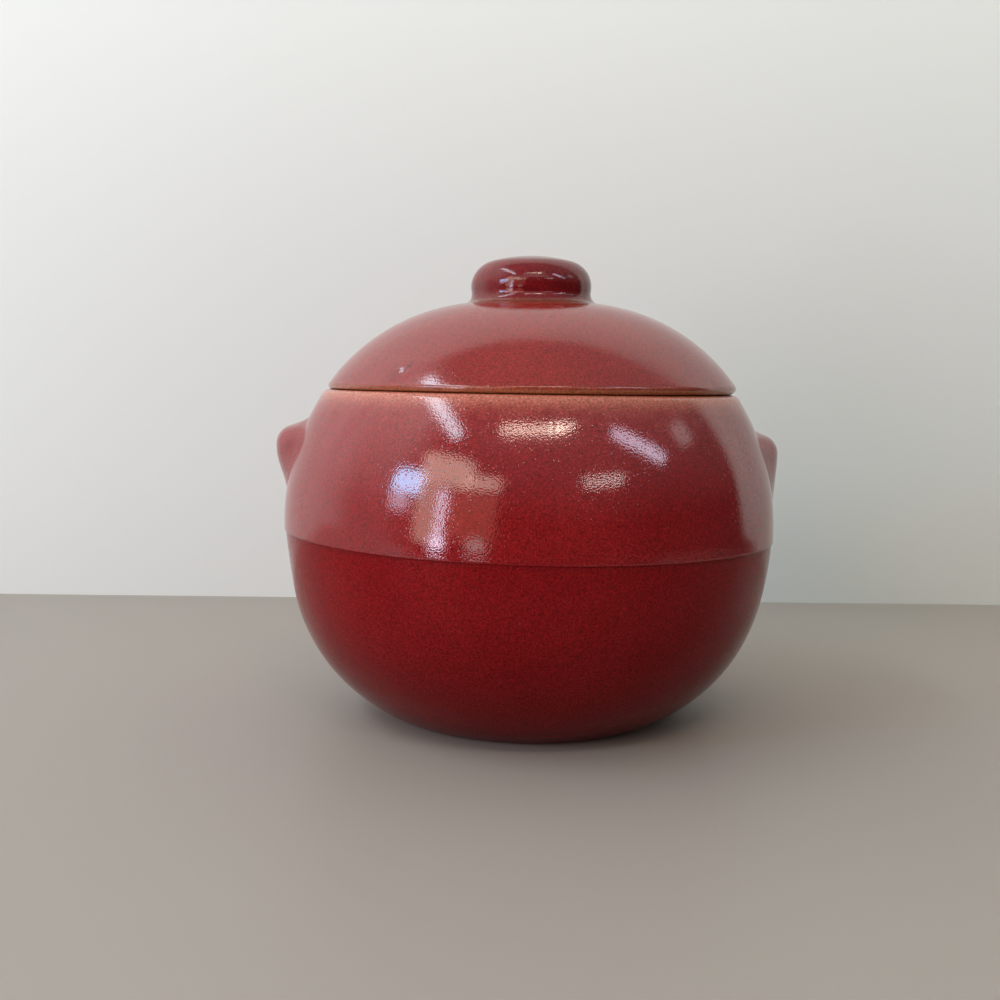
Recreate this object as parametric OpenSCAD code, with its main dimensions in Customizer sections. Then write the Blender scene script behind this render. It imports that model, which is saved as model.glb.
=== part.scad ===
// Ball-shaped stoneware grease jar with a domed lid, a round knob and two lugs.
// Millimetres. The table is z = 0, the jar's axis is Z and the lugs lie on X.
// Every round piece is a profile in (radius, height) made of true arcs and turned about its axis.

/* [Jar] */
// Widest diameter of the jar, just above the belt
body_d = 152; // [124:1:190]
// Height of the belt, where the two halves of the jar are stuck together
belt_h = 56.8; // [48:0.2:66]
// Height over which the upper half rolls in towards the belt
belt_roll_h = 2.7; // [1:0.1:4]
// How far the upper half has rolled in at the belt
belt_step = 0.45; // [0.2:0.05:1.2]
// Height of the rim that the lid sits on
rim_h = 100.5; // [92:0.5:108]
// Radius of the shoulder's side curve, from the belt up to the rim
shoulder_radius = 73; // [62:0.2:90]
// Lean of the lower half from upright, just below the belt
flank_lean = 4.6; // [1:0.2:9]
// Radius of the lower half's gentle curve below the belt
flank_radius = 164; // [110:2:260]
// Height at which the gentle curve turns into the bowl's round bottom
turn_h = 39; // [30:0.5:46]
// Thickness of the jar's wall
wall = 6.5; // [4:0.25:9]

/* [Foot] */
// Outer diameter of the foot that the jar stands on
foot_d = 85; // [68:1:96]
// Width of the flat ring round the foot
foot_ring_w = 6; // [3:0.5:10]
// Height of the hollow under the foot at its middle
kick_h = 1.8; // [0.8:0.1:3]
// Thickness of the floor at its middle
floor_t = 7; // [4:0.5:10]

/* [Mouth] */
// Rounding of the rim's outer edge
rim_edge = 3; // [1:0.25:4.5]
// Width of the rim, from the mouth's wall to the start of its outer rounding
rim_w = 7.6; // [5:0.2:11]
// Rounding of the rim's inner edge
mouth_edge = 1.2; // [0.4:0.1:2]
// Height of the mouth's upright wall
lip_h = 8; // [5:0.5:12]
// Fall of the lip's underside from level
lip_fall = 30; // [15:1:50]

/* [Lid] */
// How far the lid's edge stands out past the flat of the rim
lid_overhang = 1.2; // [0.2:0.1:2.5]
// Rounding of the lid's edge
lid_edge = 1.4; // [0.8:0.1:2.5]
// Height of the knob's seat above the rim
lid_rise = 27; // [18:0.2:36]
// Fall of the dome from level where it leaves the knob's seat
crown_fall = 4.7; // [1:0.1:9]
// Thickness of the lid
lid_wall = 6.3; // [4:0.25:9]
// Depth of the flange that hangs into the mouth
flange_h = 6.5; // [3:0.5:10]
// Thickness of that flange
flange_t = 5; // [3:0.25:8]
// Clearance all round between the flange and the mouth
lid_clearance = 0.8; // [0.3:0.1:2]

/* [Knob] */
// Widest diameter of the knob
knob_d = 37.2; // [28:0.1:48]
// Height of the knob above its seat
knob_h = 14.7; // [12:0.1:22]
// Height of the knob's widest part above its seat
knob_belly_h = 5.2; // [4:0.1:8]
// Rise of the knob's top from its rounded edge to its middle
knob_crown = 1.4; // [0.4:0.1:2.5]
// Depth of the waist below the knob's widest part
waist_depth = 0.45; // [0.2:0.05:1.5]
// Height of the waist above the seat
waist_h = 2.7; // [2.2:0.1:3.6]
// Radius of the hollow curve at the waist
waist_radius = 3.4; // [2.4:0.1:5]
// How far the knob's foot flares out past the waist
foot_flare = 0.9; // [0.3:0.05:2]
// Flat left on the dome round the knob's foot
seat_margin = 0.2; // [0:0.05:1]

/* [Lugs] */
// How far the lugs' tips stand out past the jar's widest part
lug_reach = 2.7; // [1.5:0.1:12]
// Radius of a lug seen from above
lug_radius = 17.4; // [12:0.2:24]
// Height of the lugs' tips below the rim
lug_drop = 18; // [13:0.1:26]
// Rounding of a lug's outer edge
lug_edge = 6; // [3:0.25:9]
// Rise of a lug's top from level, from its edge in to the jar
lug_rise = 19; // [5:1:35]
// Radius of the curve under a lug
lug_under_radius = 30; // [20:1:60]
// Thickness of the slip between a lug and the shoulder
slip_t = 0.05; // [0.02:0.01:0.3]

/* [Hidden] */
$fn = 144;

// Glaze colours: the jar, the lid and the darker, thicker coat on the knob
jar_color = "#8c3436";
lid_color = "#93403f";
knob_color = "#6e1c24";

// Overrun of a cutting shape past the face that it opens
overrun = 1;
// Width of the sliver at the axis that closes a profile whose arc is centred behind it
sliver = 0.01;

body_r = body_d / 2;
reach = 2 * body_r;

// The upper half: a shoulder arc that stands upright at its widest height, above a short roll
widest_h = belt_h + belt_roll_h;
shoulder_center = [body_r - shoulder_radius, widest_h];
roll_radius = (belt_step * belt_step + belt_roll_h * belt_roll_h) / (2 * belt_step);
roll_center = [body_r - roll_radius, widest_h];

// The lower half: a flank arc, then a bowl arc that is tangent to it and runs to the foot's edge
flank_center = [body_r - belt_step, belt_h] - flank_radius * along(-flank_lean);
turn_lean = asin((flank_center[1] - turn_h) / flank_radius);
turn_point = flank_center + flank_radius * along(-turn_lean);
foot_r = foot_d / 2;
turn_chord = turn_point - [foot_r, 0];
bowl_radius = (turn_chord * turn_chord) / (2 * (turn_chord * along(-turn_lean)));
bowl_center = turn_point - bowl_radius * along(-turn_lean);
inner_turn_h = turn_h + wall * sin(turn_lean);
floor_h = kick_h + floor_t;
kick_r = foot_r - foot_ring_w;
kick_radius = (kick_r * kick_r + kick_h * kick_h) / (2 * kick_h);

// The rim: its outer rounding is tangent to the shoulder arc and to the flat that carries the lid
rim_edge_rise = rim_h - rim_edge - widest_h;
rim_flat_r = shoulder_center[0] + sqrt(pow(shoulder_radius - rim_edge, 2) - pow(rim_edge_rise, 2));
rim_edge_center = [rim_flat_r, rim_h - rim_edge];
mouth_r = rim_flat_r - rim_w;
mouth_edge_center = [mouth_r + mouth_edge, rim_h - mouth_edge];
lip_low_h = rim_h - lip_h;

// The lid: a dome arc from the knob's seat that is tangent to the lid's rounded edge
waist_r = knob_d / 2 - waist_depth;
knob_foot_r = waist_r + foot_flare;
lid_r = rim_flat_r + lid_overhang;
lid_edge_center = [lid_r - lid_edge, rim_h + lid_edge];
crown_h = rim_h + lid_rise;
crown_point = [knob_foot_r + seat_margin, crown_h];
crown_normal = along(90 - crown_fall);
crown_chord = crown_point - lid_edge_center;
dome_radius = (crown_chord * crown_chord - lid_edge * lid_edge) / (2 * (crown_chord * crown_normal - lid_edge));
dome_center = crown_point - dome_radius * crown_normal;
hollow_radius = dome_radius - lid_wall;
flange_r = mouth_r - lid_clearance;
flange_in_r = flange_r - flange_t;
flange_low_h = rim_h - flange_h;

// The knob: a round belly under a shallow crown arc that is tangent to it
belly_radius = knob_h - knob_belly_h - knob_crown;
belly_center = [knob_d / 2 - belly_radius, crown_h + knob_belly_h];
knob_top_h = crown_h + knob_h;
crown_sum = pow(belly_center[0], 2) + 2 * belly_radius * knob_crown + pow(knob_crown, 2);
knob_crown_radius = crown_sum / (2 * knob_crown);
knob_crown_center = [0, knob_top_h - knob_crown_radius];
crown_touch = belly_center + (belly_radius + overrun) * along(bearing(knob_crown_center, belly_center));
waist_center = [waist_r + waist_radius, crown_h + waist_h];

// A lug: its own profile is turned about an upright axis inside the shoulder
lug_axis_r = body_r + lug_reach - lug_radius;
lug_tip_h = rim_h - lug_drop;
lug_edge_center = [lug_radius - lug_edge, lug_tip_h];
lug_under_center = [lug_radius - lug_under_radius, lug_tip_h];
lug_top_point = lug_edge_center + lug_edge * along(90 - lug_rise);
lug_peak_h = lug_top_point[1] + lug_top_point[0] * tan(lug_rise);

// Unit direction at an angle, and the angle from one point to another
function along(angle) = [cos(angle), sin(angle)];
function bearing(from, to) = atan2(to[1] - from[1], to[0] - from[0]);

// Area between the axis and the outer side of an arc, from one height to another
module inside_arc(center, radius, low, high) {
    intersection() {
        union() {
            translate(center) circle(r = radius);
            translate([0, low]) square([max(center[0], sliver), high - low]);
        }
        translate([0, low]) square([reach, high - low]);
    }
}

// Corner that a rounding takes off: the wedge between two directions, outside the rounding's circle
module corner_waste(center, radius, from, to) {
    half = (to - from) / 2;
    side = 4 * radius;
    difference() {
        translate(center) polygon([
            [0, 0],
            side * along(from),
            side / cos(half) * along(from + half),
            side * along(to)
        ]);
        translate(center) circle(r = radius);
    }
}

// Profiles of the jar's halves, outside and inside
module bowl_outline() {
    inside_arc(flank_center, flank_radius, turn_h, belt_h);
    inside_arc(bowl_center, bowl_radius, 0, turn_h);
}

module bowl_hollow() {
    inside_arc(flank_center, flank_radius - wall, inner_turn_h, belt_h + overrun);
    inside_arc(bowl_center, bowl_radius - wall, floor_h, inner_turn_h);
}

module shoulder_outline(grow = 0) {
    inside_arc(shoulder_center, shoulder_radius + grow, widest_h, rim_h);
    inside_arc(roll_center, roll_radius + grow, belt_h, widest_h);
}

module shoulder_hollow() {
    lip_foot_h = lip_low_h - (body_r - mouth_r) * tan(lip_fall);
    intersection() {
        inside_arc(shoulder_center, shoulder_radius - wall, belt_h - overrun, rim_h);
        polygon([
            [0, belt_h - overrun],
            [body_r, belt_h - overrun],
            [body_r, lip_foot_h],
            [mouth_r, lip_low_h],
            [mouth_r, rim_h],
            [0, rim_h]
        ]);
    }
    translate([0, lip_low_h]) square([mouth_r, lip_h + overrun]);
}

// Lower half of the jar, with a flat foot ring round a shallow hollow
module lower_bowl() {
    color(jar_color) rotate_extrude() difference() {
        bowl_outline();
        bowl_hollow();
        translate([0, kick_h - kick_radius]) circle(r = kick_radius);
    }
}

// Upper half of the jar, from the belt to the rim, with the lip that guides the lid
module upper_shoulder() {
    color(jar_color) rotate_extrude() difference() {
        shoulder_outline();
        shoulder_hollow();
        corner_waste(rim_edge_center, rim_edge, bearing(shoulder_center, rim_edge_center), 90);
        corner_waste(mouth_edge_center, mouth_edge, 90, 180);
    }
}

// Ear on the +X side, with its inner face cut to the shoulder
module lug() {
    difference() {
        translate([lug_axis_r, 0, 0]) rotate_extrude() {
            inside_arc(lug_edge_center, lug_edge, lug_tip_h, lug_tip_h + lug_edge);
            inside_arc(lug_under_center, lug_under_radius, widest_h, lug_tip_h);
            polygon([[0, lug_tip_h], lug_edge_center, lug_top_point, [0, lug_peak_h]]);
        }
        rotate_extrude() shoulder_outline(grow = slip_t);
    }
}

module lug_left() {
    color(jar_color) rotate([0, 0, 180]) lug();
}

module lug_right() {
    color(jar_color) lug();
}

// Domed lid with a flat seat on the rim and a round-edged flange that hangs into the mouth
module lid() {
    color(lid_color) rotate_extrude() difference() {
        union() {
            inside_arc(dome_center, dome_radius, rim_h, crown_h);
            translate([flange_in_r, flange_low_h + flange_t / 2]) square([flange_t, flange_h]);
            translate([flange_in_r + flange_t / 2, flange_low_h + flange_t / 2]) circle(d = flange_t);
        }
        corner_waste(lid_edge_center, lid_edge, -90, bearing(dome_center, lid_edge_center));
        intersection() {
            inside_arc(dome_center, hollow_radius, rim_h - overrun, dome_center[1] + hollow_radius);
            translate([0, rim_h - overrun]) square([flange_in_r, lid_rise + overrun]);
        }
    }
}

// Round knob with a flared foot, a slight waist and a shallow crown
module lid_knob() {
    color(knob_color) rotate_extrude() {
        intersection() {
            translate(knob_crown_center) circle(r = knob_crown_radius);
            union() {
                inside_arc(belly_center, belly_radius, belly_center[1], belly_center[1] + belly_radius);
                polygon([[0, belly_center[1]], belly_center, crown_touch, [0, knob_top_h + overrun]]);
            }
        }
        inside_arc(belly_center, belly_radius, waist_center[1], belly_center[1]);
        difference() {
            translate([0, crown_h]) square([knob_foot_r, waist_h]);
            translate(waist_center) circle(r = waist_radius);
        }
    }
}

lower_bowl();
upper_shoulder();
lug_left();
lug_right();
lid();
lid_knob();
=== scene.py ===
import bpy
import numpy as np
from mathutils import Matrix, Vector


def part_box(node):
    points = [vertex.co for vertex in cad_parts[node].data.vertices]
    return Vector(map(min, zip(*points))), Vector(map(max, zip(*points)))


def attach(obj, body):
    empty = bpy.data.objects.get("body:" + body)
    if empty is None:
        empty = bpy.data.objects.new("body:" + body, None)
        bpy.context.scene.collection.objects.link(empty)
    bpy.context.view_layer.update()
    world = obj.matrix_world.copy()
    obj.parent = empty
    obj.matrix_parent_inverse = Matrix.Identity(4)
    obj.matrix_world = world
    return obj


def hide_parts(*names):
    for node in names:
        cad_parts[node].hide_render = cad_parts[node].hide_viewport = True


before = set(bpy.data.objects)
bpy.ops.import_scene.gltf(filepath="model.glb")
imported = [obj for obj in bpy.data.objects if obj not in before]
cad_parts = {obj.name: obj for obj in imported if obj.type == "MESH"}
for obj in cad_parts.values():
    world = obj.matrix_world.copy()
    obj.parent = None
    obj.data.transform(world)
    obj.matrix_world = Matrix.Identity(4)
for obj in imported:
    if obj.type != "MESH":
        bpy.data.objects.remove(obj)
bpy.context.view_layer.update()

# Lower half of the jar: a stoneware bowl pressed in a mould, standing on a ring round a shallow hollow.
# Slip joins its top edge, the belt, to the upper half. It is glazed all over, duller than above the belt,
# with its foot wiped bare, and it is a little out of round, with the belt sagging towards one side.
mm = 0.001
belt_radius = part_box("lower_bowl")[1].x
belt_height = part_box("lower_bowl")[1].z
wall = 6.5 * mm
flank_lean = 4.6
flank_radius = 164 * mm
turn_height = 39 * mm
foot_radius = 42.5 * mm
foot_ring = 6 * mm
foot_edge = 2 * mm
kick_height = 1.8 * mm
floor_thick = 7 * mm
floor_corner = 7 * mm
belt_lean = 0.56
belt_lean_reach = 20 * mm
belt_pool_and_shade = 0.1
foot_shade = 0.5
belt_shade_reach = 2.2 * mm
bare_margin = 0.05 * mm
crease_angle = 40
jar_columns = 400


def along(angle):
    """Unit direction at an angle in degrees, in the (radius, height) plane of an outline."""
    return np.array((np.cos(np.radians(angle)), np.sin(np.radians(angle))))


def bearing(start, end):
    """Angle in degrees of the line from one outline point to another."""
    return np.degrees(np.arctan2(end[1] - start[1], end[0] - start[0]))


def arc(center, radius, start, end, spacing):
    """Points center + radius * (cos a, sin a) for even angles a from start to end, in degrees."""
    count = int(np.ceil(radius * np.radians(abs(end - start)) / spacing)) + 2
    angle = np.radians(np.linspace(start, end, count))
    return np.column_stack((center[0] + radius * np.cos(angle), center[1] + radius * np.sin(angle)))


def straight(start, end, spacing):
    """Even points on the line from start to end."""
    count = int(np.ceil(np.hypot(end[0] - start[0], end[1] - start[1]) / spacing)) + 2
    return np.linspace(start, end, count)


def outline(*strokes):
    """Strokes joined end to end.
    The first point of each stroke is the last of the one before it, so it is kept once."""
    return np.vstack([strokes[0]] + [stroke[1:] for stroke in strokes[1:]])


def fade(distance, reach):
    """A soft falling-off, exp(-(distance / reach)^2), that is 1 at no distance."""
    return np.exp(-(distance / reach) ** 2)


def wobble(turn, height):
    """How far handling has pushed the jar's wall out of round: a sum of slow waves round and up the wall,
    each of them millimetres * cos(lobes * turn + ripple * height + start)."""
    oval = 0.12 * np.cos(2 * turn + 0.6) + 0.06 * np.cos(3 * turn - 1.1 + 30 * height)
    dents = 0.035 * np.cos(8 * turn + 170 * height + 0.4) + 0.03 * np.cos(13 * turn - 230 * height + 2.0)
    return (oval + dents) * mm


def hand_shaped(radius, turn, height):
    """Adds the wobble to a turned wall, none at the axis, and near the belt lets the wall sag
    by tan(belt_lean) * x."""
    radius = radius + wobble(turn, height) * np.minimum(radius / foot_radius, 1)
    sag = np.tan(np.radians(belt_lean)) * radius * np.cos(turn) * fade(height - belt_height, belt_lean_reach)
    return radius, height - sag


def clay_piece(name, points, faces, coats):
    """A smooth mesh object of these points and faces.
    coats holds one value a point for each named attribute."""
    mesh = bpy.data.meshes.new(name)
    mesh.from_pydata(points, [], faces)
    mesh.shade_smooth()
    mesh.set_sharp_from_angle(angle=np.radians(crease_angle))
    for coat in ("thin_glaze_and_sheen", "pooled_glaze_and_shade", "bare_clay"):
        layer = mesh.attributes.new(coat, "FLOAT", "POINT")
        layer.data.foreach_set("value", np.ascontiguousarray(coats[coat], dtype=np.float32))
    piece = bpy.data.objects.new(name, mesh)
    bpy.context.scene.collection.objects.link(piece)
    return piece


def turned(name, line, turns, shape, coats, ring=False):
    """A piece turned about the jar's axis. Row i is the outline's point (radius_i, height_i) and column j
    the angle turn_j. Once shape has pushed it by hand, a point is (radius cos turn, radius sin turn, height).
    A ring joins its last row to its first; any other outline starts and ends at a single point on the axis.
    coats gives each attribute as a function of radius, turn and height."""
    rows = line if ring else line[1:-1]
    radius, turn = np.meshgrid(rows[:, 0], turns, indexing="ij")
    height = np.repeat(rows[:, 1:2], len(turns), axis=1)
    painted = {coat: (paint(radius, turn, height) + 0 * radius).ravel() for coat, paint in coats.items()}
    radius, height = shape(radius, turn, height)
    points = np.stack((radius * np.cos(turn), radius * np.sin(turn), height), axis=-1).reshape(-1, 3)
    index = np.arange(len(points)).reshape(radius.shape)
    lower = index if ring else index[:-1]
    upper = np.roll(index, -1, axis=0) if ring else index[1:]
    corners = (lower, np.roll(lower, -1, axis=1), np.roll(upper, -1, axis=1), upper)
    faces = np.stack(corners, axis=-1).reshape(-1, 4).tolist()
    if not ring:
        start, end = len(points), len(points) + 1
        first, last = index[0], index[-1]
        faces += np.column_stack((np.full_like(first, start), np.roll(first, -1), first)).tolist()
        faces += np.column_stack((last, np.roll(last, -1), np.full_like(last, end))).tolist()
        poles = np.array([(0, 0, line[0, 1]), (0, 0, line[-1, 1])])
        points = np.vstack((points, poles))
        painted = {coat: np.append(values, (values[0], values[-1])) for coat, values in painted.items()}
    return clay_piece(name, points, faces, painted)


flank_center = np.array((belt_radius, belt_height)) - flank_radius * along(-flank_lean)
turn_lean = np.degrees(np.arcsin((flank_center[1] - turn_height) / flank_radius))
turn_point = flank_center + flank_radius * along(-turn_lean)
turn_chord = turn_point - (foot_radius, 0)
bowl_radius = turn_chord @ turn_chord / (2 * turn_chord @ along(-turn_lean))
bowl_center = turn_point - bowl_radius * along(-turn_lean)
floor_height = kick_height + floor_thick
kick_radius = foot_radius - foot_ring


def corner_in_bowl(radius, level, rounding):
    """Center of a rounding that touches a level from above and the bowl's arc of that radius from inside."""
    across = np.sqrt((radius - rounding) ** 2 - (bowl_center[1] - level - rounding) ** 2)
    return np.array((bowl_center[0] + across, level + rounding))


foot_center = corner_in_bowl(bowl_radius, 0, foot_edge)
inner_radius = bowl_radius - wall
corner_center = corner_in_bowl(inner_radius, floor_height, floor_corner)
inner_flank = flank_radius - wall
inner_belt_lean = np.degrees(np.arcsin((flank_center[1] - belt_height) / inner_flank))
inner_belt = flank_center + inner_flank * along(-inner_belt_lean)
kick_sphere = (kick_radius**2 + kick_height**2) / (2 * kick_height)
kick_half = np.degrees(np.arcsin(kick_radius / kick_sphere))
bowl_line = outline(
    arc((0, kick_height - kick_sphere), kick_sphere, 90, 90 - kick_half, 2 * mm),
    straight((kick_radius, 0), (foot_center[0], 0), 0.8 * mm),
    arc(foot_center, foot_edge, -90, bearing(bowl_center, foot_center), 0.2 * mm),
    arc(bowl_center, bowl_radius, bearing(bowl_center, foot_center), -turn_lean, 0.8 * mm),
    arc(flank_center, flank_radius, -turn_lean, -flank_lean, 0.6 * mm),
    straight((belt_radius, belt_height), inner_belt, 3 * mm),
    arc(flank_center, inner_flank, -inner_belt_lean, -turn_lean, 2 * mm),
    arc(bowl_center, inner_radius, -turn_lean, bearing(bowl_center, corner_center), 2 * mm),
    arc(corner_center, floor_corner, bearing(bowl_center, corner_center), -90, 0.8 * mm),
    straight((corner_center[0], floor_height), (0, floor_height), 3 * mm),
)
jar_turns = np.linspace(0, 2 * np.pi, jar_columns, endpoint=False)
bowl_half = turned(
    "bowl_half",
    bowl_line,
    jar_turns,
    hand_shaped,
    {
        "thin_glaze_and_sheen": lambda radius, turn, height: 0 * radius,
        # Painted shade: darker in the crease under the belt, and more and more towards the foot.
        "pooled_glaze_and_shade": lambda radius, turn, height: np.maximum(
            belt_pool_and_shade * fade(height - belt_height, belt_shade_reach), foot_shade * (1 - height / belt_height)
        ),
        "bare_clay": lambda radius, turn, height: np.logical_and(
            radius > kick_radius - mm, height < bare_margin
        ),
    },
)


def feed(tree, socket, value):
    """Joins a node's input to another node's output, or sets it to a plain value."""
    if isinstance(value, bpy.types.NodeSocket):
        tree.links.new(value, socket)
    else:
        socket.default_value = value


def place(tree, kind, **values):
    """Adds a shader node and feeds its inputs by name, with a space written as an underscore."""
    node = tree.nodes.new("ShaderNode" + kind)
    for name, value in values.items():
        feed(tree, node.inputs[name.replace("_", " ")], value)
    return node


def sum_of(tree, operation, *values):
    """A Math node's result."""
    node = tree.nodes.new("ShaderNodeMath")
    node.operation = operation
    for socket, value in zip(node.inputs, values):
        feed(tree, socket, value)
    return node.outputs["Value"]


def spread(tree, value, low, high, to_low=0.0, to_high=1.0):
    """Carries the range low to high over to another range, and stops at its ends."""
    node = place(tree, "MapRange", Value=value, From_Min=low, From_Max=high, To_Min=to_low, To_Max=to_high)
    return node.outputs["Result"]


def mixed(tree, mask, first, second, how="MIX"):
    """Two colours mixed by a mask."""
    node = tree.nodes.new("ShaderNodeMix")
    node.data_type = "RGBA"
    node.blend_type = how
    for place_in_list, value in ((0, mask), (6, first), (7, second)):
        feed(tree, node.inputs[place_in_list], value)
    return node.outputs[2]


def noise(tree, where, scale, detail=2.0, roughness=0.5):
    """Noise whose grain is about 1 / scale metres across."""
    node = place(tree, "TexNoise", Vector=where, Scale=scale, Detail=detail, Roughness=roughness)
    return node.outputs["Fac"]


def dots(tree, where, scale, size, share):
    """Round dots in that share of the cells of a grid with a step of 1 / scale metres.
    Their size is a part of that step, and each is solid out to its core."""
    core = 0.4
    cells = place(tree, "TexVoronoi", Vector=where, Scale=scale)
    lot = place(tree, "SeparateColor", Color=cells.outputs["Color"]).outputs[0]
    chosen = sum_of(tree, "LESS_THAN", lot, share)
    return sum_of(tree, "MULTIPLY", chosen, spread(tree, cells.outputs["Distance"], size, core * size))


def coat_of(tree, name):
    """One of the piece's own attributes."""
    node = tree.nodes.new("ShaderNodeAttribute")
    node.attribute_name = name
    return node.outputs["Fac"]


def new_group(name, inputs, outputs):
    """An empty node group with named sockets, and its input and output nodes."""
    tree = bpy.data.node_groups.new(name, "ShaderNodeTree")
    for sockets, side in ((inputs, "INPUT"), (outputs, "OUTPUT")):
        for socket, kind in sockets.items():
            tree.interface.new_socket(socket, in_out=side, socket_type="NodeSocket" + kind)
    return tree, tree.nodes.new("NodeGroupInput"), tree.nodes.new("NodeGroupOutput")


def fired_glaze_group():
    """The glaze over clay: cloudy depth, fine fired speckle and sparse iron spots. It breaks to a thin colour
    on edges, goes dark where it pools, and stops where the clay was wiped bare. The thin colour also paints
    sheens and highlights, and the dark pool colour also paints shade and shadow. Height is the peel of its
    skin, in millimetres. A grain is how often its pattern repeats in a metre."""
    cloud_grain = 40
    speckle_grain = 1900
    iron_grain = 420
    ragged_grain = 320
    peel_grain = 700
    bubble_grain = 1850
    pinhole_grain = 900
    pit_grain = 150
    peel_height = 0.005
    bubble_height = -0.014
    pinhole_height = -0.022
    pit_height = -0.04
    grit_height = 0.08
    pool_and_shade_color = (0.030, 0.004, 0.003, 1)
    iron_color = (0.03, 0.006, 0.006, 1)
    iron_strength = 0.45
    sandy_color = (0.42, 0.30, 0.19, 1)
    thin_dullness = 0.10
    bare_dullness = 0.6
    inputs = {
        "Vector": "Vector",
        "Deep": "Color",
        "Light": "Color",
        "Thin": "Color",
        "Clay": "Color",
        "Gloss": "Float",
    }
    outputs = {"Color": "Color", "Roughness": "Float", "Height": "Float"}
    tree, given, result = new_group("fired_glaze", inputs, outputs)
    where = given.outputs["Vector"]
    cloud = spread(tree, noise(tree, where, cloud_grain, 3.0), 0.35, 0.65)
    grain = noise(tree, where, speckle_grain, 2.0, 0.7)
    speckle = spread(tree, grain, 0.3, 0.7, 0.48, 1.52)
    iron = dots(tree, where, iron_grain, 0.16, 0.35)
    ragged = sum_of(tree, "SUBTRACT", noise(tree, where, ragged_grain, 3.0, 0.6), 0.5)
    thin = sum_of(tree, "MULTIPLY_ADD", ragged, 0.25, coat_of(tree, "thin_glaze_and_sheen"))
    thin = spread(tree, thin, 0.03, 1.0)
    bare = sum_of(tree, "MULTIPLY_ADD", ragged, 0.6, coat_of(tree, "bare_clay"))
    bare = spread(tree, bare, 0.42, 0.58)
    color = mixed(tree, cloud, given.outputs["Deep"], given.outputs["Light"])
    # Thin glaze and painted sheen take the thin colour; pooled glaze, painted shade and painted shadow take
    # the pool colour.
    color = mixed(tree, thin, color, given.outputs["Thin"])
    color = mixed(tree, coat_of(tree, "pooled_glaze_and_shade"), color, pool_and_shade_color)
    color = mixed(tree, 1.0, color, speckle, "MULTIPLY")
    color = mixed(tree, sum_of(tree, "MULTIPLY", iron, iron_strength), color, iron_color)
    clay = mixed(tree, spread(tree, grain, 0.35, 0.65), given.outputs["Clay"], sandy_color)
    color = mixed(tree, bare, color, clay)
    gloss = sum_of(tree, "MULTIPLY", given.outputs["Gloss"], spread(tree, grain, 0.5, 0.6, 1.0, 2.0))
    gloss = sum_of(tree, "MULTIPLY_ADD", thin, thin_dullness, gloss)
    rough = sum_of(tree, "MULTIPLY_ADD", bare, bare_dullness, gloss)
    peel = sum_of(tree, "MULTIPLY", noise(tree, where, peel_grain, 1.0), peel_height)
    bubble = place(tree, "TexVoronoi", Vector=where, Scale=bubble_grain).outputs["Distance"]
    peel = sum_of(tree, "MULTIPLY_ADD", sum_of(tree, "POWER", bubble, 2.0), bubble_height, peel)
    pinholes = dots(tree, where, pinhole_grain, 0.24, 0.6)
    peel = sum_of(tree, "MULTIPLY_ADD", pinholes, pinhole_height, peel)
    pits = dots(tree, where, pit_grain, 0.09, 0.12)
    peel = sum_of(tree, "MULTIPLY_ADD", pits, pit_height, peel)
    height = sum_of(tree, "MULTIPLY_ADD", sum_of(tree, "MULTIPLY", bare, grain), grit_height, peel)
    for socket, value in (("Color", color), ("Roughness", rough), ("Height", height)):
        feed(tree, result.inputs[socket], value)
    return tree


def glaze(name, deep, light, thin, clay, gloss, glassy):
    """A finish of that glaze in its own colours: the group drives the shader's colour, roughness and bump,
    and glassy is the index of refraction of its skin."""
    material = bpy.data.materials.new(name)
    material.use_nodes = True
    tree = material.node_tree
    shader = tree.nodes["Principled BSDF"]
    coat = tree.nodes.new("ShaderNodeGroup")
    coat.node_tree = fired_glaze
    colors = {"Deep": deep, "Light": light, "Thin": thin, "Clay": clay}
    for socket, color in colors.items():
        coat.inputs[socket].default_value = (*color, 1)
    coat.inputs["Gloss"].default_value = gloss
    feed(tree, coat.inputs["Vector"], tree.nodes.new("ShaderNodeTexCoord").outputs["Object"])
    bump = place(tree, "Bump", Strength=1.0, Distance=mm, Height=coat.outputs["Height"])
    shader.inputs["IOR"].default_value = glassy
    feed(tree, shader.inputs["Base Color"], coat.outputs["Color"])
    feed(tree, shader.inputs["Roughness"], coat.outputs["Roughness"])
    feed(tree, shader.inputs["Normal"], bump.outputs["Normal"])
    return material


fired_glaze = fired_glaze_group()
# The bowl's colours are darker than the shoulder's: painted shade for the lower half.
bowl_glaze = glaze(
    "bowl_glaze",
    deep=(0.225, 0.004, 0.0065),
    light=(0.25, 0.007, 0.009),
    thin=(0.42, 0.14, 0.09),
    clay=(0.55, 0.42, 0.29),
    gloss=0.12,
    glassy=1.22,
)
bowl_half.data.materials.append(bowl_glaze)
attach(bowl_half, "jar")
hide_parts("lower_bowl")

# Upper half of the jar: a second moulded piece, a ring that closes in from the belt to the rim.
# Slip sticks it down at the belt, where its rolled edge was dipped with the bowl. Its rim has a bare flat for
# the lid to sit on, with an upright mouth below it, and the glaze breaks to tan over the rim's round edge.
body_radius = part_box("upper_shoulder")[1].x
rim_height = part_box("upper_shoulder")[1].z
belt_roll = 2.7 * mm
belt_edge = 0.35 * mm
shoulder_radius = 73 * mm
rim_edge = 3 * mm
rim_width = 7.6 * mm
mouth_edge = 1.2 * mm
lip_height = 8 * mm
lip_fall = 30
rim_drop = 0.1 * mm
rim_slope = 2.5 * mm
seam_turn = -87.9
seam_width = 0.45 * mm
seam_depth = 0.03 * mm
seam_pull = 0.75
seam_pool = 0.15
rim_thin = 0.66
rim_thin_reach = 2.9 * mm
shoulder_thin = 0.10
shoulder_thin_reach = 9 * mm
crack_shadow_level = 0.6
crack_shadow_reach = 0.2 * mm
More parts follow.
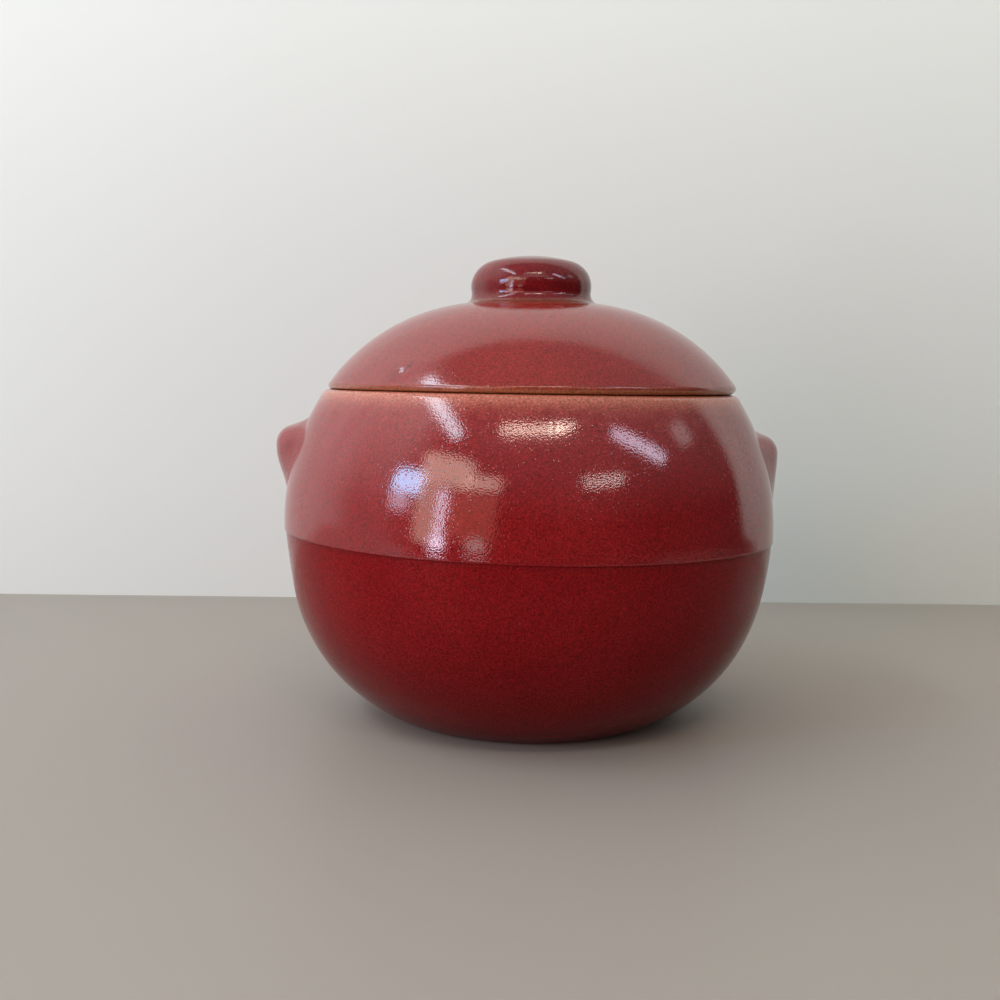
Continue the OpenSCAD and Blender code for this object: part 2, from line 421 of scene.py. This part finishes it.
shoulder_belt_shade_reach = 1.4 * mm

widest_height = belt_height + belt_roll
shoulder_center = np.array((body_radius - shoulder_radius, widest_height))
belt_step = body_radius - belt_radius
edge_turn = np.degrees(np.arccos(1 - belt_step / belt_edge))
edge_center = np.array((body_radius, belt_height)) + belt_edge * np.array((-1, np.sin(np.radians(edge_turn))))


def rim_center_at(height):
    """Center of the rim's rounding that touches that height and, from inside, the shoulder's arc."""
    rise = height - rim_edge - widest_height
    across = np.sqrt((shoulder_radius - rim_edge) ** 2 - rise**2)
    return np.array((shoulder_center[0] + across, height - rim_edge))


rim_center = rim_center_at(rim_height - rim_drop)
mouth_radius = rim_center_at(rim_height)[0] - rim_width
seat_outer = rim_center[0] - rim_slope
mouth_center = np.array((mouth_radius + mouth_edge, rim_height - mouth_edge))
lip_low = rim_height - lip_height
inner_shoulder = shoulder_radius - wall
lip_slope = np.tan(np.radians(lip_fall))


def lip_corner():
    """Where the lip's falling underside meets the inner shoulder arc: the outer root of line = circle."""
    fall = lip_low + mouth_radius * lip_slope - shoulder_center[1]
    a = 1 + lip_slope**2
    b = -2 * (shoulder_center[0] + fall * lip_slope)
    c = shoulder_center[0] ** 2 + fall**2 - inner_shoulder**2
    radius = (-b + np.sqrt(b**2 - 4 * a * c)) / (2 * a)
    return np.array((radius, lip_low - (radius - mouth_radius) * lip_slope))


lip_foot = lip_corner()
inner_foot_angle = np.degrees(np.arcsin((belt_height - widest_height) / inner_shoulder))
inner_foot = shoulder_center + inner_shoulder * along(inner_foot_angle)
rim_bearing = bearing(shoulder_center, rim_center)
belt_line = arc(edge_center, belt_edge, -edge_turn, 0, 0.1 * mm)
shoulder_line = outline(
    belt_line,
    straight((body_radius, edge_center[1]), (body_radius, widest_height), 0.5 * mm),
    arc(shoulder_center, shoulder_radius, 0, rim_bearing, 0.5 * mm),
    arc(rim_center, rim_edge, rim_bearing, 90, 0.2 * mm),
    straight((rim_center[0], rim_height - rim_drop), (seat_outer, rim_height), 0.4 * mm),
    straight((seat_outer, rim_height), (mouth_center[0], rim_height), 0.7 * mm),
    arc(mouth_center, mouth_edge, 90, 180, 0.2 * mm),
    straight((mouth_radius, mouth_center[1]), (mouth_radius, lip_low), mm),
    straight((mouth_radius, lip_low), lip_foot, mm),
    arc(shoulder_center, inner_shoulder, bearing(shoulder_center, lip_foot), inner_foot_angle, 2 * mm),
    straight(inner_foot, (belt_radius, belt_height), 3 * mm),
)[:-1]


def gathered(turn, pull, count):
    """Column angles u - pull * sin u about a turn in degrees, which draws them closer together there."""
    even = np.linspace(0, 2 * np.pi, count, endpoint=False)
    return np.radians(turn) + even - pull * np.sin(even)


def round_from(turn, start):
    """The turn measured from a start in degrees, between half a turn back and half a turn on."""
    return np.angle(np.exp(1j * (turn - np.radians(start))))


def shoulder_shaped(radius, turn, height):
    """The hand shaping, and on the outside a faint upright groove where the two sides of the mould met."""
    outside = np.hypot(radius - shoulder_center[0], height - widest_height) > shoulder_radius - rim_edge
    groove = seam_depth * fade(round_from(turn, seam_turn) * radius, seam_width) * outside
    return hand_shaped(radius - groove, turn, height)


def rim_break(radius, turn, height):
    """The glaze thins over the rim's round edge, and less and less on the shoulder below it."""
    below = rim_height - height
    thin = rim_thin * fade(below, rim_thin_reach) + shoulder_thin * fade(below, shoulder_thin_reach)
    return thin * (radius > mouth_radius + mm)


def rim_shadow_and_seam_pool(radius, turn, height):
    """Painted shadow in the open crack under the lid's edge and painted shade at the belt, with the glaze
    pooled a little in the mould's seam."""
    below = np.maximum(rim_height - rim_drop - height, 0)
    crack_shadow = crack_shadow_level * fade(below, crack_shadow_reach) * (radius > seat_outer - 0.1 * mm)
    seam = seam_pool * fade(round_from(turn, seam_turn) * radius, seam_width) * (radius > inner_shoulder)
    return np.maximum(np.maximum(crack_shadow, seam), belt_pool_and_shade * fade(height - belt_height, shoulder_belt_shade_reach))


shoulder_half = turned(
    "shoulder_half",
    shoulder_line,
    gathered(seam_turn, seam_pull, jar_columns),
    shoulder_shaped,
    {
        "thin_glaze_and_sheen": rim_break,
        "pooled_glaze_and_shade": rim_shadow_and_seam_pool,
        "bare_clay": lambda radius, turn, height: height > rim_height - bare_margin,
    },
    ring=True,
)
shoulder_glaze = glaze(
    "shoulder_glaze",
    deep=(0.265, 0.0065, 0.0085),
    light=(0.30, 0.010, 0.012),
    thin=(0.72, 0.25, 0.155),
    clay=(0.55, 0.42, 0.29),
    gloss=0.06,
    glassy=1.68,
)
shoulder_half.data.materials.append(shoulder_glaze)
shoulder_half.data.materials.append(bowl_glaze)
dipped = np.arange(len(shoulder_half.data.polygons)) < (len(belt_line) - 1) * jar_columns
shoulder_half.data.polygons.foreach_set("material_index", dipped.astype(np.int32))
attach(shoulder_half, "jar")
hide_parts("upper_shoulder")

# The two lugs: small ears pressed in a mould and stuck to the shoulder with slip, one on each side.
# The slip is smoothed into a soft fillet and the glaze runs over ear and shoulder without a break. They are
# set by hand, so the values in ears differ: how far each is sunk and lowered, and its underside's radius.
lug_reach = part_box("lug_right")[1].x
lug_radius = 17.4 * mm
lug_tip = 82.5 * mm
lug_edge = 6 * mm
lug_rise = 19
lug_fillet = 4 * mm
lug_sink = 0.2 * mm
lug_depth = 2 * mm
lug_half_turn = 19
lug_low = 61 * mm
lug_high = 97 * mm
lug_columns = 130
lug_rows = 120

lug_axis = lug_reach - lug_radius
lug_top = np.array((lug_radius - lug_edge, lug_tip)) + lug_edge * along(90 - lug_rise)
lug_peak = lug_top[1] + lug_top[0] * np.tan(np.radians(lug_rise))


def lug_plan(height, lug_under):
    """Radius of a lug seen from above: an arc under its tip, a round edge over it and a slope to its peak."""
    under = lug_radius - lug_under + np.sqrt(np.maximum(lug_under**2 - (height - lug_tip) ** 2, 0))
    edge = lug_radius - lug_edge + np.sqrt(np.maximum(lug_edge**2 - (height - lug_tip) ** 2, 0))
    slope = (lug_peak - height) / np.tan(np.radians(lug_rise))
    plan = np.where(height < lug_tip, under, np.where(height < lug_top[1], edge, slope))
    return np.maximum(plan, 0)


def lug(name, side, sunk, lowered, lug_under):
    """An ear as two grids over turn and height, skin and back, closed along their borders.
    The skin's radius is the larger of the shoulder's and the lug's, a cos t + sqrt(plan^2 - (a sin t)^2)
    about an axis at a, with the step between them rounded by (fillet - gap)^2 / (4 fillet).
    Where it stands no prouder than the shoulder it sinks in."""
    turn, height = np.meshgrid(
        np.radians(np.linspace(-lug_half_turn, lug_half_turn, lug_columns)),
        np.linspace(lug_low, lug_high, lug_rows),
    )
    body = shoulder_center[0] + np.sqrt(shoulder_radius**2 - (height - widest_height) ** 2)
    plan = lug_plan(height + lowered, lug_under)
    ear = lug_axis * np.cos(turn) + np.sqrt(np.maximum(plan**2 - (lug_axis * np.sin(turn)) ** 2, 0)) - sunk
    gap = np.abs(body - ear)
    proud = np.maximum(ear - body, 0) + np.maximum(lug_fillet - gap, 0) ** 2 / (4 * lug_fillet)
    buried = np.clip(1 - proud / (2 * lug_sink), 0, 1)
    skin = body + proud - lug_sink * buried
    back = body - lug_depth
    turn = turn + side
    grids = []
    for radius in (skin, back):
        formed, level = hand_shaped(radius, turn, height)
        grids.append(np.stack((formed * np.cos(turn), formed * np.sin(turn), level), axis=-1).reshape(-1, 3))
    index = np.arange(turn.size).reshape(turn.shape)
    corners = (index[:-1, :-1], index[:-1, 1:], index[1:, 1:], index[1:, :-1])
    front = np.stack(corners, axis=-1).reshape(-1, 4)
    border = np.concatenate((index[0, :-1], index[:-1, -1], index[-1, :0:-1], index[:0:-1, 0]))
    onward = np.roll(border, -1)
    rim = np.column_stack((border, border + turn.size, onward + turn.size, onward))
    faces = np.vstack((front, front[:, ::-1] + turn.size, rim))
    none = np.zeros(2 * turn.size)
    coats = {"thin_glaze_and_sheen": none, "pooled_glaze_and_shade": none, "bare_clay": none}
    return clay_piece(name, np.vstack(grids), faces.tolist(), coats)


ears = {
    "right_ear": ("lug_right", 0.0, 0.45 * mm, 0.2 * mm, 60 * mm),
    "left_ear": ("lug_left", np.pi, -0.4 * mm, -0.55 * mm, 22 * mm),
}
for ear_name, (node, *setting) in ears.items():
    ear = lug(ear_name, *setting)
    ear.data.materials.append(shoulder_glaze)
    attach(ear, "jar")
    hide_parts(node)

# The lid: a domed stoneware lid with a rolled edge, a bare seat that sits on the rim and a flange that hangs
# into the mouth to keep it from sliding. The glaze is a shade lighter, breaks to gold along the edge, and has
# one blister on the left where a bubble burst in the kiln. The knob's shade and reflection are painted in a
# ring round its foot, shadow in the crack under the edge, and a darker reflection beside the blister.
lid_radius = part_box("lid")[1].x
crown_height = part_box("lid")[1].z
flange_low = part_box("lid")[0].z
lid_edge = 1.4 * mm
lid_wall = 6.3 * mm
crown_fall = 4.7
seat_radius = 19.25 * mm
knob_ring = 22 * mm
flange_thick = 5 * mm
lid_clearance = 0.8 * mm
lid_tilt = 0.4
lid_shift = 0.37 * mm
blister_turn = -129.5
blister_height = 106.6 * mm
blister_slope = 0.32
blister_wide = 1.7 * mm
blister_high = 1.2 * mm
blister_band = 2.5
blister_pull = 0.78
blister_climb = 0.57
blister_across = 0.82
patch_dark_reflection = 0.25
patch_aside = 2.2 * mm
patch_below = 1.0 * mm
patch_squash = 1.3
patch_reach = 2.0 * mm
tail_dark_reflection = 0.7
tail_aside = 1.3 * mm
tail_above = 1.1 * mm
tail_slant = 0.6
tail_stretch = 0.5
tail_reach = 0.55 * mm
edge_thin = 0.9
edge_thin_reach = 1.5 * mm
edge_shadow_reach = 0.12 * mm
ring_sheen = 0.35
ring_shade = 0.3
ring_reach = 7 * mm
ring_depth = 5 * mm
bare_half_width = 3 * mm
lid_columns = 400

lid_center = np.array((lid_radius - lid_edge, rim_height + lid_edge))
seat_edge = np.array((seat_radius, crown_height))
crown_normal = along(90 - crown_fall)
crown_chord = seat_edge - lid_center
dome_radius = (crown_chord @ crown_chord - lid_edge**2) / (2 * (crown_chord @ crown_normal - lid_edge))
dome_center = seat_edge - dome_radius * crown_normal
hollow_radius = dome_radius - lid_wall
flange_outer = mouth_radius - lid_clearance
flange_inner = flange_outer - flange_thick
flange_center = np.array((flange_inner + flange_thick / 2, flange_low + flange_thick / 2))
hollow_end = np.degrees(np.arccos((flange_inner - dome_center[0]) / hollow_radius))
hollow_foot = dome_center + hollow_radius * along(hollow_end)
hollow_top = dome_center[1] + hollow_radius
lid_bearing = bearing(dome_center, lid_center)
blister_bearing = np.degrees(np.arcsin((blister_height - dome_center[1]) / dome_radius))
lid_line = outline(
    straight((0, hollow_top), (dome_center[0], hollow_top), 3 * mm),
    arc(dome_center, hollow_radius, 90, hollow_end, 2 * mm),
    straight(hollow_foot, (flange_inner, flange_center[1]), 2 * mm),
    arc(flange_center, flange_thick / 2, 180, 360, 0.6 * mm),
    straight((flange_outer, flange_center[1]), (flange_outer, rim_height), 1.5 * mm),
    straight((flange_outer, rim_height), (lid_center[0], rim_height), mm),
    arc(lid_center, lid_edge, -90, lid_bearing, 0.16 * mm),
    arc(dome_center, dome_radius, lid_bearing, blister_bearing - blister_band, 0.5 * mm),
    arc(dome_center, dome_radius, blister_bearing - blister_band, blister_bearing + blister_band, 0.15 * mm),
    arc(dome_center, dome_radius, blister_bearing + blister_band, 90 - crown_fall, 0.5 * mm),
    straight(seat_edge, (0, crown_height), 3 * mm),
)


def lid_tilted(radius, turn, height):
    """The kiln's warp: the dome leans by rising tan(lid_tilt) * x towards one side."""
    return height + np.tan(np.radians(lid_tilt)) * radius * np.cos(turn)


def lid_shaped(radius, turn, height):
    """Slow waves, a lean and a place a little off the middle, with the blister on the dome: a burst bubble's
    flat, tilted by slope * (blister_climb * climb - blister_across * across), that fades out round it."""
    waves = 0.1 * np.cos(2 * turn - 0.9) + 0.03 * np.cos(7 * turn + 200 * height)
    waves = waves + 0.025 * np.cos(11 * turn - 150 * height)
    from_dome = np.hypot(radius - dome_center[0], height - dome_center[1])
    outside = np.logical_or(from_dome > dome_radius - mm, height > crown_height - mm)
    above_seat = np.logical_or(radius > lid_center[0] - 0.5 * mm, height > rim_height + lid_edge)
    outside = np.logical_and(outside, above_seat)
    across = round_from(turn, blister_turn) * radius
    up = height - blister_height
    climb = up / np.cos(np.radians(blister_bearing))
    tilt = blister_slope * (blister_climb * climb - blister_across * across)
    push = tilt * fade(np.hypot(across / blister_wide, climb / blister_high) ** 2, 1) * outside
    lean = np.arctan2(height - dome_center[1], radius - dome_center[0])
    height = np.where(outside, lid_tilted(radius, turn, height), height)
    radius = radius + (waves * mm + lid_shift * np.cos(turn)) * np.minimum(radius / seat_radius, 1) * outside
    return radius + push * np.cos(lean), height + push * np.sin(lean)


def knob_shade_ring(radius, height):
    """Where the knob's shade and reflection are painted on the lid: 1 at the knob's foot, fading outwards
    over the dome's top.
    """
    return fade(np.maximum(radius - knob_ring, 0), ring_reach) * (height > crown_height - ring_depth)


def lid_breaks_and_sheen(radius, turn, height):
    """The glaze thins on the rolled edge, and a lighter ring of the knob's reflection is painted round its
    foot.
    """
    edge = edge_thin * fade(height - rim_height, edge_thin_reach) * (radius > flange_outer + mm)
    return np.maximum(edge, ring_sheen * knob_shade_ring(radius, height))


def lid_painted_shade(radius, turn, height):
    """Painted shadow in the crack under the edge, painted shade of the knob round its foot, and a painted
    darker reflection in a patch beside the blister and a slanting tail above it."""
    crack_shadow = crack_shadow_level * fade(height - rim_height, edge_shadow_reach) * (radius > seat_outer)
    ring = ring_shade * knob_shade_ring(radius, height)
    across = round_from(turn, blister_turn) * radius
    up = height - blister_height
    from_patch = np.hypot(across + patch_aside, patch_squash * (up + patch_below))
    patch = patch_dark_reflection * fade(from_patch, patch_reach)
    from_tail = np.hypot(across - tail_aside - tail_slant * up, tail_stretch * (up - tail_above))
    tail = tail_dark_reflection * fade(from_tail, tail_reach)
    return np.maximum(np.maximum(crack_shadow, ring), np.maximum(patch, tail) * (radius > flange_outer))


domed_lid = turned(
    "domed_lid",
    lid_line,
    gathered(blister_turn, blister_pull, lid_columns),
    lid_shaped,
    {
        "thin_glaze_and_sheen": lid_breaks_and_sheen,
        "pooled_glaze_and_shade": lid_painted_shade,
        "bare_clay": lambda radius, turn, height: np.logical_and(
            np.abs(height - rim_height) < bare_margin,
            np.abs(radius - flange_outer - bare_half_width) < bare_half_width,
        ),
    },
)
lid_glaze = glaze(
    "lid_glaze",
    deep=(0.27, 0.012, 0.0095),
    light=(0.315, 0.018, 0.014),
    thin=(0.42, 0.14, 0.045),
    clay=(0.55, 0.42, 0.29),
    gloss=0.08,
    glassy=1.7,
)
domed_lid.data.materials.append(lid_glaze)
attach(domed_lid, "cover")
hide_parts("lid")

# The knob: a solid flattened ball of clay stuck to the top of the lid, waisted where fingers take hold of it.
# It was dipped twice, so its glaze is thicker, darker and glossier, and it runs out in a fillet onto the lid.
knob_radius = 18.6 * mm
knob_shift = -0.25 * mm
knob_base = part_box("lid_knob")[0].z
knob_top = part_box("lid_knob")[1].z
knob_belly = 5.2 * mm
knob_crown = 1.4 * mm
waist_radius = 3.4 * mm
knob_sink = 0.03 * mm
knob_root = 0.6 * mm
knob_settle = 3 * mm
skirt_highlight = 0.8
skirt_highlight_rise = 0.3 * mm
skirt_highlight_reach = 0.6 * mm
skirt_shade = 0.5
skirt_shade_reach = 0.5 * mm
knob_columns = 260

belly_radius = knob_top - knob_base - knob_belly - knob_crown
belly_center = np.array((knob_radius - belly_radius, knob_base + knob_belly))
crown_radius = (belly_center[0] ** 2 + 2 * belly_radius * knob_crown + knob_crown**2) / (2 * knob_crown)
crown_center = np.array((0, knob_top - crown_radius))


def touching_both(first, first_reach, second, second_reach):
    """The outer of the two points at those distances from two centers."""
    apart = second - first
    distance = np.hypot(*apart)
    forward = (first_reach**2 - second_reach**2 + distance**2) / (2 * distance)
    sideways = np.sqrt(first_reach**2 - forward**2)
    ahead = apart / distance
    return first + forward * ahead + sideways * np.array((-ahead[1], ahead[0]))


waist_center = touching_both(
    belly_center, belly_radius + waist_radius, dome_center, dome_radius - knob_sink + waist_radius
)
skirt_angle = bearing(waist_center, dome_center) % 360
waist_angle = bearing(waist_center, belly_center) % 360
skirt_edge = waist_center + waist_radius * along(skirt_angle)
root_height = skirt_edge[1] - knob_root
crown_bearing = bearing(crown_center, belly_center)
knob_line = outline(
    straight((0, root_height), (skirt_edge[0], root_height), 3 * mm),
    straight((skirt_edge[0], root_height), skirt_edge, 0.4 * mm),
    arc(waist_center, waist_radius, skirt_angle, waist_angle, 0.15 * mm),
    arc(belly_center, belly_radius, waist_angle - 180, crown_bearing, 0.3 * mm),
    arc(crown_center, crown_radius, crown_bearing, 90, 0.4 * mm),
)


def knob_shaped(radius, turn, height):
    """Slight waves, millimetres * cos(lobes * turn + ripple * height + start), from the fingers that pressed
    the knob on, and a set a little to one side; both start above the skirt and end at the axis."""
    waves = 0.10 * np.cos(2 * turn + 0.3) + 0.05 * np.cos(3 * turn + 400 * height)
    waves = waves + 0.03 * np.cos(5 * turn - 500 * height)
    rise = np.clip((height - skirt_edge[1]) / knob_settle, 0, 1)
    shift = knob_shift * np.cos(turn) * rise
    push = (waves * mm * rise + shift) * np.minimum(radius / belly_center[0], 1)
    return radius + push, lid_tilted(radius, turn, height)


def skirt_painted_highlight(radius, turn, height):
    """A painted highlight: a lighter line just above the skirt's edge."""
    return skirt_highlight * fade(height - skirt_edge[1] - skirt_highlight_rise, skirt_highlight_reach)


def skirt_painted_shade(radius, turn, height):
    """Painted shade at the skirt's edge, where the knob meets the lid."""
    return skirt_shade * fade(height - skirt_edge[1], skirt_shade_reach)


round_knob = turned(
    "round_knob",
    knob_line,
    np.linspace(0, 2 * np.pi, knob_columns, endpoint=False),
    knob_shaped,
    {
        "thin_glaze_and_sheen": skirt_painted_highlight,
        "pooled_glaze_and_shade": skirt_painted_shade,
        "bare_clay": lambda radius, turn, height: 0 * radius,
    },
)
knob_glaze = glaze(
    "knob_glaze",
    deep=(0.15, 0.003, 0.005),
    light=(0.20, 0.006, 0.009),
    # Here thin is only the colour of the painted highlight line above the skirt.
    thin=(0.30, 0.12, 0.075),
    clay=(0.55, 0.42, 0.29),
    gloss=0.025,
    glassy=1.52,
)
round_knob.data.materials.append(knob_glaze)
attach(round_knob, "cover")
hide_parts("lid_knob")

# The stage: a plain pale table that ends in front and at the right, and a pale board close behind the jar.
# The board shows the camera one side only and casts no shadow, so the jar is seen and lit from behind too.
table_left = -0.9
table_right = 0.4
table_front = -0.28
table_back = 0.9
table_color = (0.42, 0.375, 0.33, 1)
table_gloss = 0.5
table_shine = 0.3
board_behind = 0.182
board_left = -0.74
board_right = 0.72
board_top = 1.0
board_color = (0.84, 0.885, 0.85, 1)
board_gloss = 0.7
board_shine = 0.1


def sheet_of(name, points, color, roughness, shine):
    """One flat face in one plain finish."""
    mesh = bpy.data.meshes.new(name)
    mesh.from_pydata(points, [], [(0, 1, 2, 3)])
    finish = bpy.data.materials.new(name)
    finish.use_nodes = True
    shader = finish.node_tree.nodes["Principled BSDF"]
    shader.inputs["Base Color"].default_value = color
    shader.inputs["Roughness"].default_value = roughness
    shader.inputs["Specular IOR Level"].default_value = shine
    mesh.materials.append(finish)
    sheet = bpy.data.objects.new(name, mesh)
    bpy.context.scene.collection.objects.link(sheet)
    return finish.node_tree


sheet_of(
    "table",
    [
        (table_left, table_front, 0),
        (table_right, table_front, 0),
        (table_right, table_back, 0),
        (table_left, table_back, 0),
    ],
    table_color,
    table_gloss,
    table_shine,
)
board_tree = sheet_of(
    "board",
    [
        (board_left, board_behind, 0),
        (board_right, board_behind, 0),
        (board_right, board_behind, board_top),
        (board_left, board_behind, board_top),
    ],
    board_color,
    board_gloss,
    board_shine,
)
light_path = board_tree.nodes.new("ShaderNodeLightPath")
seen_from_behind = sum_of(
    board_tree,
    "MULTIPLY",
    light_path.outputs["Is Camera Ray"],
    board_tree.nodes.new("ShaderNodeNewGeometry").outputs["Backfacing"],
)
clear = sum_of(board_tree, "MAXIMUM", seen_from_behind, light_path.outputs["Is Shadow Ray"])
see_through = board_tree.nodes.new("ShaderNodeMixShader")
feed(board_tree, see_through.inputs[0], clear)
feed(board_tree, see_through.inputs[1], board_tree.nodes["Principled BSDF"].outputs["BSDF"])
feed(board_tree, see_through.inputs[2], board_tree.nodes.new("ShaderNodeBsdfTransparent").outputs["BSDF"])
feed(board_tree, board_tree.nodes["Material Output"].inputs["Surface"], see_through.outputs["Shader"])

# The light: a plain studio of soft boxes round the front of the jar, some cool and some warm, in dim grey.
# Each is given as it is seen from the jar, so that it shows as a highlight where the real jar has one.
# The glints show as highlights only, and the board lamps are aimed at the board.
jar_middle = np.array((0, -0.06, 0.08))
box_distance = 1.3
blue = (0.35, 0.65, 1.05)
violet = (0.80, 0.78, 1.0)
cool = (0.72, 0.86, 1.0)
white = (1.0, 0.97, 0.93)
warm = (1.0, 0.80, 0.66)
ruddy = (1.0, 0.35, 0.25)
soft_boxes = {
    "window": (-61, 18.5, 14, 8.5, 0, blue, 13),
    "sill": (-63, 10.5, 9, 7, 0, violet, 4),
    "door": (-42.8, 5, 3.6, 25, 0, violet, 10),
    "door_step": (-43.5, -5.5, 8.5, 5.5, 0, violet, 6),
    "door_frame": (-50, 7.5, 10, 24, 0, warm, 2.6),
    "lit_wall": (-43.5, 26, 23, 13, 0, warm, 3.9),
    "lit_wall_end": (-24.5, 23, 15, 7, 0, warm, 3.6),
    "hall": (-29, 7, 24, 21, 0, ruddy, 1.2),
    "mat": (-25.5, -6, 8.5, 5, 0, white, 2.3),
    "skylight": (-67, 51, 38, 5, -20, cool, 9),
    "ceiling_lamp": (-1.4, 50, 24, 3.2, 0, warm, 11.5),
    "ceiling_lamp_end": (17.4, 50, 9, 3.4, 0, warm, 12.5),
}
glints = {
    "far_window": (58, 35, 23, 6, -44, violet, 6.6),
    "shelf_lamp": (33, 24, 17, 1.8, 0, white, 9),
    "far_lamp": (87, 32, 9, 9, 0, white, 1.2),
}
board_lamps = {
    "board_top": ((0.12, -0.25, 0.66), 1.4, 0.8, white, 0.6),
    "board_left": ((-0.58, -0.16, 0.25), 0.40, 0.5, white, 0.4),
    "board_right": ((0.60, -0.05, 0.20), 0.40, 0.4, white, 0.5),
}
board_lamp_spread = 100
room_dark = 0.06
room_left = 0.42
room_left_high = 1.0
room_by_board = 0.45
room_ceiling = 0.36
room_color = (0.93, 1.0, 0.99, 1)
left_turns = np.radians((-50, -72))
left_rise = (0.15, 0.6)
left_top = (0.9, 0.75)
by_board_turns = np.radians((-88, -104))
by_board_top = (0.6, 0.3)
ceiling_rise = (0.1, 0.75)


def hang_lamp(name, middle, axes, wide, high, color, level):
    """A rectangular lamp that shines along the third of its axes, reversed.
    Its power is level * pi * area, which makes its face as bright as the level."""
    lamp = bpy.data.lights.new(name, "AREA")
    lamp.shape = "RECTANGLE"
    lamp.size = wide
    lamp.size_y = high
    lamp.color = color
    lamp.energy = level * np.pi * wide * high
    holder = bpy.data.objects.new(name, lamp)
    bpy.context.scene.collection.objects.link(holder)
    holder.location = middle
    holder.rotation_euler = Matrix(np.column_stack(axes).tolist()).to_euler()
    holder.visible_camera = False
    return holder


def soft_box(name, azimuth, elevation, wide, high, roll, color, level):
    """A lamp that faces the jar. Azimuth turns from the front towards +X, and all angles are in degrees."""
    turn, rise = np.radians(azimuth), np.radians(elevation)
    toward = np.array((np.sin(turn) * np.cos(rise), -np.cos(turn) * np.cos(rise), np.sin(rise)))
    across = np.array((np.cos(turn), np.sin(turn), 0))
    above = np.cross(toward, across)
    lean = np.radians(roll)
    side = np.cos(lean) * across + np.sin(lean) * above
    size = 2 * box_distance * np.tan(np.radians((wide / 2, high / 2)))
    middle = jar_middle + box_distance * toward
    return hang_lamp(name, middle, (side, np.cross(toward, side), toward), *size, color, level)


for box_name, values in soft_boxes.items():
    soft_box(box_name, *values)
for glint_name, values in glints.items():
    soft_box(glint_name, *values).visible_diffuse = False
for lamp_name, (middle, *values) in board_lamps.items():
    board_lamp = hang_lamp(lamp_name, middle, ((1, 0, 0), (0, 0, 1), (0, -1, 0)), *values)
    board_lamp.data.spread = np.radians(board_lamp_spread)
room = bpy.data.worlds.new("room")
room.use_nodes = True
room_tree = room.node_tree
direction = room_tree.nodes.new("ShaderNodeTexCoord").outputs["Generated"]
ahead = place(room_tree, "SeparateXYZ", Vector=direction).outputs
round_the_room = sum_of(room_tree, "ARCTAN2", ahead["X"], sum_of(room_tree, "MULTIPLY", ahead["Y"], -1))
left_side = spread(room_tree, round_the_room, *left_turns)
left_wall = spread(room_tree, ahead["Z"], *left_rise, room_left, room_left_high)
left_wall = sum_of(room_tree, "MULTIPLY", left_wall, spread(room_tree, ahead["Z"], *left_top))
by_board = spread(room_tree, round_the_room, *by_board_turns, 0.0, room_by_board)
by_board_low = spread(room_tree, ahead["Z"], *by_board_top)
left_wall = sum_of(room_tree, "MULTIPLY_ADD", by_board, by_board_low, left_wall)
ceiling = spread(room_tree, ahead["Z"], *ceiling_rise, room_dark, room_dark + room_ceiling)
room_level = sum_of(room_tree, "MULTIPLY_ADD", left_side, left_wall, ceiling)
feed(room_tree, room_tree.nodes["Background"].inputs["Strength"], room_level)
room_tree.nodes["Background"].inputs["Color"].default_value = room_color
bpy.context.scene.world = room

# The camera: held low in front of the jar, pitched down a little and not quite level.
# Its place and turn come from the circles of the rim, the belt and the foot in the photograph.
camera_place = (-19.5 * mm, -378.1 * mm, 104.96 * mm)
camera_turn = -1.6
camera_pitch = -5.877
camera_roll = 0.937
camera_lens = 43.2
camera_sensor = 36
camera_nearest = 0.01
camera = bpy.data.objects.new("camera", bpy.data.cameras.new("camera"))
bpy.context.scene.collection.objects.link(camera)
camera.data.lens = camera_lens
camera.data.sensor_width = camera_sensor
camera.data.clip_start = camera_nearest
camera.location = camera_place
facing = Matrix.Rotation(np.radians(camera_turn), 3, "Z")
pitched = Matrix.Rotation(np.radians(90 + camera_pitch), 3, "X")
rolled = Matrix.Rotation(np.radians(camera_roll), 3, "Z")
camera.rotation_euler = (facing @ pitched @ rolled).to_euler()
bpy.context.scene.camera = camera
bpy.context.scene.view_settings.view_transform = "Standard"
